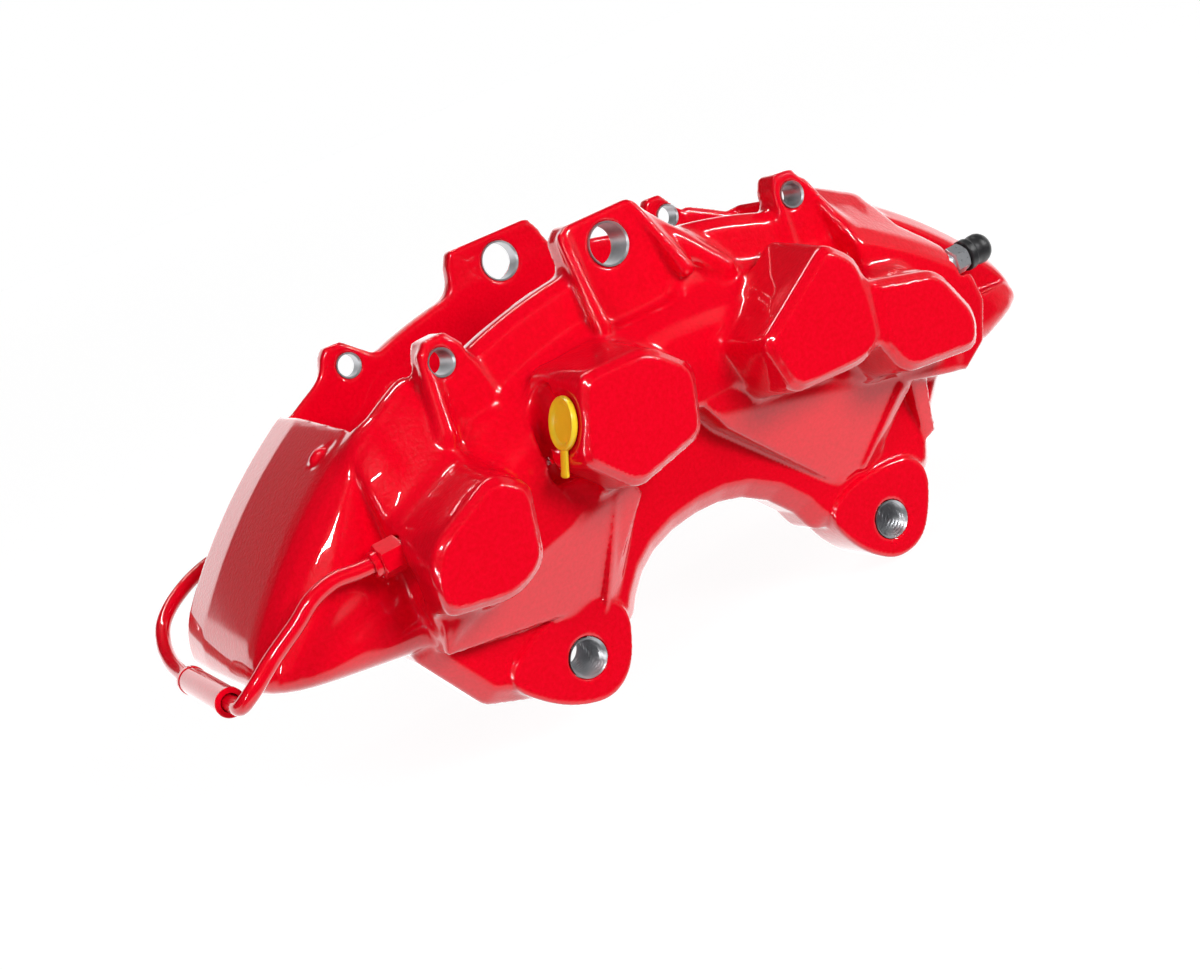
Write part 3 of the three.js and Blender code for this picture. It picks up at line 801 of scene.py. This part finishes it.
def make_pistons(side):
    for number, seat in enumerate(SEATS, 1):
        x, z = seat_place(seat)
        outer = seat[2] - GAP
        inner = outer - PISTON_WALL
        back, front = PISTON_BACK, PISTON_FRONT
        groove = outer - 0.9
        section = [
            (0, back), (outer - 1, back), (outer, back + 1), (outer, front - 4.6), (groove, front - 4.2),
            (groove, front - 2.6), (outer, front - 2.2), (outer, front - 0.5), (outer - 0.5, front),
            (inner + 0.4, front), (inner, front - 0.4), (inner, back + 7), (inner - 2, back + 5),
            (0, back + 5),
        ]
        facing = 1 if side == "inboard" else -1
        shape = lathe(section, (x, side_y(side, 0), z), (0, facing, 0), 64)
        node = f"piston_{side}_{number}"
        add_piece(node + "_turned", [shape], PISTON, node + "_body", "piston_metal", node)
        inner = seat[2] + 0.1
        bellows = [
            (inner, 10.4), (inner + 3.5, 10.4), (inner + 3.6, 12.4), (inner + 3, 12.8),
            (inner + 2.5, 11.9), (inner + 2, 11.7), (inner + 1.6, 12.4), (inner + 1.4, 13.8),
            (inner + 0.9, 14.2), (inner + 0.3, 13.9), (inner, 13.2),
        ]
        shape = lathe(bellows, (x, side_y(side, 0), z), (0, facing, 0), 64)
        node = f"dust_boot_{side}_{number}"
        add_piece(node + "_bellows", [shape], BOOT, "caliper", "boot_rubber", node)


def hexagon_section(flats, start, length, bore):
    """A hexagon's loop with both ends chamfered; the corners are cut where they pass its cone."""
    corner = flats / math.sqrt(3)
    step = (corner - flats * 0.48) / 4
    rise = [(flats * 0.48 + step * k, start + step * k * 0.55) for k in range(5)]
    fall = [(radius, 2 * start + length - along) for radius, along in reversed(rise)]
    return [(bore, start), *rise, *fall, (bore, start + length)]


def make_fittings(side):
    y = side_y(side, PORT_Y)
    outward = (-1, 0, 0)
    nut = hexagon_section(11, 0.35, 8.7, PIPE_R + GAP)
    collar = [(3.2, 9), (4.4, 9), (4.6, 9.3), (4.6, 11), (4.2, 11.5), (3.2, 11.5)]
    place = (PIPE_PORT_X, y, PORT_Z)
    shapes = [lathe(nut, place, outward, 48, (11, 0, 9.2)), lathe(collar, place, outward)]
    shank = [(3.2, -6.5), (4.6, -6.5), (4.6, 0.5), (3.2, 0.5)]
    shapes.append(lathe(shank, place, outward))
    node = f"tube_nut_{side}"
    add_piece(node + "_hexagon", shapes, RED_STEEL, "caliper", "painted_steel", node)

    place = (BLEED_PORT_X, y, PORT_Z)
    hexagon = hexagon_section(10, 0.3, 6.5, 0.9)
    shank = [(0.9, -11.5), (3.8, -11.5), (3.8, 0.6), (0.9, 0.6)]
    nipple = [(0.9, 6.5), (2.4, 6.5), (2.4, 13), (2.9, 13.6), (2.9, 14.4), (1.9, 17), (0.9, 17)]
    shapes = [lathe(hexagon, place, (1, 0, 0), 48, (10, 0, 7.2))]
    shapes += [lathe(section, place, (1, 0, 0)) for section in (shank, nipple)]
    node = f"bleed_screw_{side}"
    add_piece(node + "_hexagon", shapes, ZINC, node + "_body", "zinc_steel", node)

    cap = [
        (3.4, 7.35), (5.9, 7.35), (6.2, 7.7), (6.2, 9.9), (5.9, 10.3), (5.7, 10.9), (5.7, 12.6),
        (5.9, 13.2), (6, 13.8), (6, 15.8), (5.6, 17), (4.8, 18.2), (3.4, 19), (1.6, 19.25),
        (0, 19.3), (0, 17.6), (3.7, 17.6), (3.7, 11.8), (3.4, 11.8),
    ]
    node = f"bleeder_cap_{side}"
    add_piece(node + "_moulded", [lathe(cap, place, (1, 0, 0))], CAP, node + "_body", "cap_rubber", node)


def make_plug():
    """The push-in plug: a cup in the port, a dished disc over it and a rounded pull tab."""
    lean = math.radians(PLUG_LEAN)
    outward = np.array((-math.cos(lean), 0, math.sin(lean)))
    downward = -np.array((math.sin(lean), 0, math.cos(lean)))
    section = [
        (0, -2.8), (3.3, -2.8), (3.7, -2.1), (3.7, 1.4), (8.9, 1.4), (9.3, 1.8), (9.4, 2.4), (9.2, 3.2),
        (8.8, 3.6), (7.9, 3.6), (7.2, 3.2), (6.5, 2.6), (3, 2.3), (0, 2.3),
    ]
    disc = lathe(section, PLUG_PLACE, outward, 64)
    tab = [(0, 7), (1, 7), (1, 16), (1.05, 16.6), (1.1, 17.4), (1, 18), (0.6, 18.4), (0, 18.5)]
    points, faces = lathe(tab, (0, 0, 0), downward, 32)
    # the round bar is spread sideways and thinned into a tab
    half_width, half_thickness = 2.5, 0.88
    across = points[:, 1:2] * np.array((0, half_width, 0))
    out = (points @ outward)[:, None] * outward * half_thickness
    down = (points @ downward)[:, None] * downward
    place = np.array(PLUG_PLACE) + outward * 2.3
    bent = place + across + out + down, faces
    slot = "yellow_plastic"
    add_piece("inlet_plug_moulded", [disc, bent], YELLOW, "inlet_plug_body", slot, "inlet_plug")


# the pipe's centre line from the inboard port round the end of the casting, as the CAD pipe runs
PIPE_ROUTE = [
    (-114, -8, -62), (-124, -8, -62), (-134, -8, -61.4), (-143, -8, -60.4), (-152, -8, -62.6),
    (-160, -8, -67.5), (-172, -8, -74), (-182.5, -8.5, -80.5), (-186.6, -4, -84.2), (-187, 4, -85),
    (-187, 20, -85), (-187, 40, -85), (-187, 58, -85), (-187, 72, -84.2), (-186.4, 86, -81.6),
    (-184, 98, -77.6), (-179.5, 107.5, -73), (-172, 113.5, -68.6), (-160, 116.3, -63.8),
    (-147, 116.4, -61.2), (-134, 116, -62), (-124, 116, -62), (-114, 116, -62),
]


def smooth_path(points, steps=8):
    """Points on the centripetal Catmull-Rom curve through the given ones."""
    points = [np.array(p, float) for p in points]
    points = [2 * points[0] - points[1], *points, 2 * points[-1] - points[-2]]
    path = []
    for p0, p1, p2, p3 in zip(points, points[1:], points[2:], points[3:]):
        t1 = math.sqrt(np.linalg.norm(p1 - p0))
        t2 = t1 + math.sqrt(np.linalg.norm(p2 - p1))
        t3 = t2 + math.sqrt(np.linalg.norm(p3 - p2))
        for step in range(steps):
            t = t1 + (t2 - t1) * step / steps
            a1 = p0 + (p1 - p0) * t / t1
            a2 = p1 + (p2 - p1) * (t - t1) / (t2 - t1)
            a3 = p2 + (p3 - p2) * (t - t2) / (t3 - t2)
            b1 = a1 + (a2 - a1) * t / t2
            b2 = a2 + (a3 - a2) * (t - t1) / (t3 - t1)
            path.append(b1 + (b2 - b1) * (t - t1) / (t2 - t1))
    return np.array([*path, points[-2]])


def tube(path, radius, sides=20):
    """A round tube along a path, its rings carried along without twisting."""
    heading = np.gradient(path, axis=0)
    heading /= np.linalg.norm(heading, axis=1, keepdims=True)
    up = np.array((0, 0, 1.0))
    rings = []
    angle = np.arange(sides)[:, None] * 2 * math.pi / sides
    for place, n in zip(path, heading):
        up = up - n * (up @ n)
        up /= np.linalg.norm(up)
        rings.append(place + radius * (np.cos(angle) * up + np.sin(angle) * np.cross(n, up)))
    i, j = np.meshgrid(range(len(path) - 1), range(sides), indexing="ij")
    beside = (j + 1) % sides
    quads = np.stack([i * sides + j, i * sides + beside, (i + 1) * sides + beside, (i + 1) * sides + j], -1)
    return np.concatenate(rings), quads.reshape(-1, 4)


def make_pipe():
    shape = tube(smooth_path(PIPE_ROUTE), PIPE_R)
    add_piece("crossover_pipe_bent", [shape], RED_STEEL, "caliper", "painted_steel", "crossover_pipe")
    y0, y1 = SLEEVE_Y
    inside, body, lip = 3.3, 4.9, 5.2
    section = [
        (inside, y0), (body, y0), (lip, y0 + 0.3), (lip, y0 + 2.4), (body, y0 + 2.8), (body, y1 - 2.8),
        (lip, y1 - 2.4), (lip, y1 - 0.3), (body, y1), (inside, y1),
    ]
    shape = lathe(section, (SLEEVE_X, 0, SLEEVE_Z), (0, 1, 0), 40)
    add_piece("pipe_sleeve_turned", [shape], RED_STEEL, "caliper", "painted_steel", "pipe_sleeve")


def liner(name, x, z, outer, inner, y0, y1):
    """The bright machined inside of a hole, its two ends chamfered."""
    section = [
        (outer, y0 + 0.1), (outer, y1 - 0.1), (inner + 0.6, y1 - 0.1), (inner, y1 - 0.8), (inner, y0 + 0.8),
        (inner + 0.6, y0 + 0.1),
    ]
    add_piece(name, [lathe(section, (x, 0, z), (0, 1, 0), 48)], BARE, "caliper", "red_paint")


def thread(name, x, z, crest, depth, pitch, y0, y1):
    """A threaded hole's inside: a helical groove between two countersinks."""
    sides, per_turn, countersink = 48, 6, 1.2
    count = int((y1 - y0) / pitch * per_turn)
    along = np.linspace(y0, y1, count)
    angle = np.arange(sides) * 2 * math.pi / sides
    phase = along[:, None] / pitch - angle / (2 * math.pi)
    groove = np.abs((phase % 1) * 2 - 1)
    from_end = np.minimum(along - y0, y1 - along)
    mouth = np.clip(countersink - from_end, 0, countersink)[:, None]
    radius = np.maximum(crest + depth * groove, crest + mouth)
    points = np.stack([
        x + radius * np.cos(angle), np.repeat(along[:, None], sides, 1), z + radius * np.sin(angle)
    ], -1).reshape(-1, 3)
    i, j = np.meshgrid(range(count - 1), range(sides), indexing="ij")
    beside = (j + 1) % sides
    quads = np.stack([i * sides + j, (i + 1) * sides + j, (i + 1) * sides + beside, i * sides + beside], -1)
    add_piece(name, [(points, quads.reshape(-1, 4))], BARE, "caliper", "red_paint")


def make_liners():
    crest, groove_depth, pitch = EAR_HOLE_R - 0.5, 0.9, 2.0
    for number, (x, z) in enumerate(EARS, 1):
        thread(f"mount_thread_{number}", x, z, crest, groove_depth, pitch, 0.1, 23.9)
    for number, (x, z) in enumerate(PINS, 1):
        liner(f"pin_hole_inboard_{number}", x, z, PIN_HOLE_R + 0.7, PIN_HOLE_R, 0, 13.5)
        liner(f"pin_hole_outboard_{number}", x, z, PIN_HOLE_R + 0.7, PIN_HOLE_R, WALL_OUT, WALL_OUT + 8)
    liner("bridge_hole_inboard", 0, 0, BRIDGE_HOLE_R + 0.7, BRIDGE_HOLE_R, 0, 13.5)
    liner("bridge_hole_outboard", 0, 0, BRIDGE_HOLE_R + 0.7, BRIDGE_HOLE_R, WALL_OUT, WALL_OUT + 8)


CAD_LOOKS = {"piston_seal": SEAL, "abutment_plate": STAINLESS, "plate_screw": ZINC}


def paint_cad_nodes():
    for name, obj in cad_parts.items():
        for start, material in CAD_LOOKS.items():
            if name.startswith(start):
                obj.data.materials.clear()
                obj.data.materials.append(material)


# ------------------------------------------------------------------ studio
# the camera stands 0.69 m from the caliper's middle, towards the pipe end and a little above,
# rolled so that the rim climbs to the right
CAMERA_PLACE = (-285.9, -552.1, 73.0)
CAMERA_RIGHT = (0.80926, -0.46120, -0.36386)
CAMERA_DOWN = (-0.43300, -0.04970, -0.90002)
FOCAL_OVER_WIDTH = 1750 / 1200
SENSOR_WIDTH = 36
# what glossy rays (room, table) and diffuse rays (fill) meet in the world, and the floor's own light
ROOM_DARK, FILL_ABOVE, FILL_BELOW, TABLE_BRIGHT = 0.01, 0.2, 0.66, 1.6
FLOOR_GLOW = 0.93
FLOOR_DROP = 0.0005


def make_camera():
    camera = bpy.data.objects.new("camera", bpy.data.cameras.new("camera"))
    bpy.context.scene.collection.objects.link(camera)
    right, down = Vector(CAMERA_RIGHT).normalized(), Vector(CAMERA_DOWN)
    down = (down - right * down.dot(right)).normalized()
    turn = Matrix((right, -down, -right.cross(down))).transposed()
    camera.matrix_world = Matrix.Translation(row(*CAMERA_PLACE)) @ turn.to_4x4()
    camera.data.sensor_width = SENSOR_WIDTH
    camera.data.lens = SENSOR_WIDTH * FOCAL_OVER_WIDTH
    bpy.context.scene.camera = camera
    return camera


def area_light(name, place, target, size, power, colour=(1, 1, 1)):
    light = bpy.data.lights.new(name, "AREA")
    light.shape = "RECTANGLE"
    light.size, light.size_y = size
    light.energy = power
    light.color = colour
    obj = bpy.data.objects.new(name, light)
    bpy.context.scene.collection.objects.link(obj)
    obj.location = place
    obj.rotation_mode = "QUATERNION"
    obj.rotation_quaternion = (Vector(target) - Vector(place)).to_track_quat("-Z", "Y")
    return obj


def make_floor():
    bpy.ops.mesh.primitive_plane_add(size=30, location=(0, 0, -FLOOR_DROP))
    floor = bpy.context.object
    floor.name = "floor"
    material, nodes, links, shader = new_material("floor_white")
    shader.inputs["Roughness"].default_value = 0.85
    shader.inputs["Emission Color"].default_value = (1, 1, 1, 1)
    shader.inputs["Emission Strength"].default_value = FLOOR_GLOW
    place = nodes.new("ShaderNodeTexCoord")
    noise = add_node(nodes, "ShaderNodeTexNoise", Scale=3, Detail=2)
    links.new(place.outputs["Object"], noise.inputs["Vector"])
    mix_colour(nodes, links, noise.outputs["Fac"], (0.1, 0.1, 0.1), (0.11, 0.11, 0.11), shader)
    floor.data.materials.append(material)
    floor.visible_glossy = False
    floor.visible_diffuse = False


def ramp_node(nodes, links, source, start, end, low, high, kind="SMOOTHSTEP"):
    ramp = nodes.new("ShaderNodeMapRange")
    ramp.interpolation_type = kind
    for name, value in (("From Min", start), ("From Max", end), ("To Min", low), ("To Max", high)):
        ramp.inputs[name].default_value = value
    links.new(source, ramp.inputs["Value"])
    return ramp.outputs["Result"]


def math_node(nodes, links, operation, first, second):
    node = nodes.new("ShaderNodeMath")
    node.operation = operation
    links.new(first, node.inputs[0])
    links.new(second, node.inputs[1])
    return node.outputs["Value"]


def choose_node(nodes, links, factor, first, second):
    """The first value where the factor is 0, the second where it is 1."""
    mix = nodes.new("ShaderNodeMix")
    links.new(factor, mix.inputs["Factor"])
    for name, value in (("A", first), ("B", second)):
        if isinstance(value, float):
            mix.inputs[name].default_value = value
        else:
            links.new(value, mix.inputs[name])
    return mix.outputs["Result"]


def make_world():
    """White to the camera; as light, brighter from below; in gloss, a mirrored white table.

    The mirrored table lies below and behind the caliper, and its far edge stands above the horizon
    at the bleeder end, where a dimmer wall stands too. The front above the table is dark.
    """
    world = bpy.data.worlds.new("studio")
    world.use_nodes = True
    nodes, links = world.node_tree.nodes, world.node_tree.links
    background = nodes["Background"]
    background.inputs["Color"].default_value = (1, 1, 1, 1)
    place = nodes.new("ShaderNodeTexCoord")
    split = nodes.new("ShaderNodeSeparateXYZ")
    links.new(place.outputs["Generated"], split.inputs["Vector"])
    # the table's far edge climbs towards the bleeder end
    leftward = ramp_node(nodes, links, split.outputs["X"], -1, 0, 0.62, 0, "LINEAR")
    slant = math_node(nodes, links, "ADD", split.outputs["Z"], leftward)
    under = ramp_node(nodes, links, slant, 0.38, 0.46, 1, 0)
    behind = ramp_node(nodes, links, split.outputs["Y"], -0.35, 0.25, 0, 1)
    below = ramp_node(nodes, links, split.outputs["Z"], -0.85, -0.4, 1, 0)
    table = math_node(nodes, links, "MULTIPLY", under, math_node(nodes, links, "MAXIMUM", behind, below))
    right_wall = ramp_node(nodes, links, split.outputs["X"], 0.62, 0.85, 0, 0.3)
    lit = math_node(nodes, links, "MAXIMUM", table, right_wall)
    mirrored = ramp_node(nodes, links, lit, 0, 1, ROOM_DARK, TABLE_BRIGHT)
    fill = ramp_node(nodes, links, split.outputs["Z"], -0.7, 0.4, FILL_BELOW, FILL_ABOVE)
    path = nodes.new("ShaderNodeLightPath")
    links.new(
        choose_node(nodes, links, path.outputs["Is Camera Ray"],
                    choose_node(nodes, links, path.outputs["Is Glossy Ray"], fill, mirrored), 1.0),
        background.inputs["Strength"],
    )
    bpy.context.scene.world = world


def make_studio():
    make_floor()
    make_world()
    middle = (0, 0, 0.09)
    # two broad soft lights for the paint's colour, and thin strips for the streaks in its gloss
    for name, place, power in (("key", (0.35, -1.4, 0.7), 17), ("key_left", (-1.2, -0.8, 0.9), 9)):
        area_light(name, place, middle, (0.6, 0.4), power).visible_glossy = False
    strips = [
        ("strip_front", (-0.8, -1.05, 1.2), (0.6, 0.04), 12),
        ("strip_side", (1.2, -1.1, 0.8), (0.04, 0.7), 12),
        ("strip_top", (0.1, 0.5, 1.5), (1.0, 0.07), 9),
        ("strip_low", (-1.3, -0.5, 0.3), (0.03, 0.5), 4),
    ]
    for name, place, size, power in strips:
        strip = area_light(name, place, middle, size, power)
        strip.visible_diffuse = False


# ------------------------------------------------------------------ build
bpy.context.scene.view_settings.view_transform = "Standard"
make_camera()
make_studio()
make_casting()
for which_side in ("inboard", "outboard"):
    make_pistons(which_side)
    make_fittings(which_side)
make_plug()
make_pipe()
make_liners()
paint_cad_nodes()
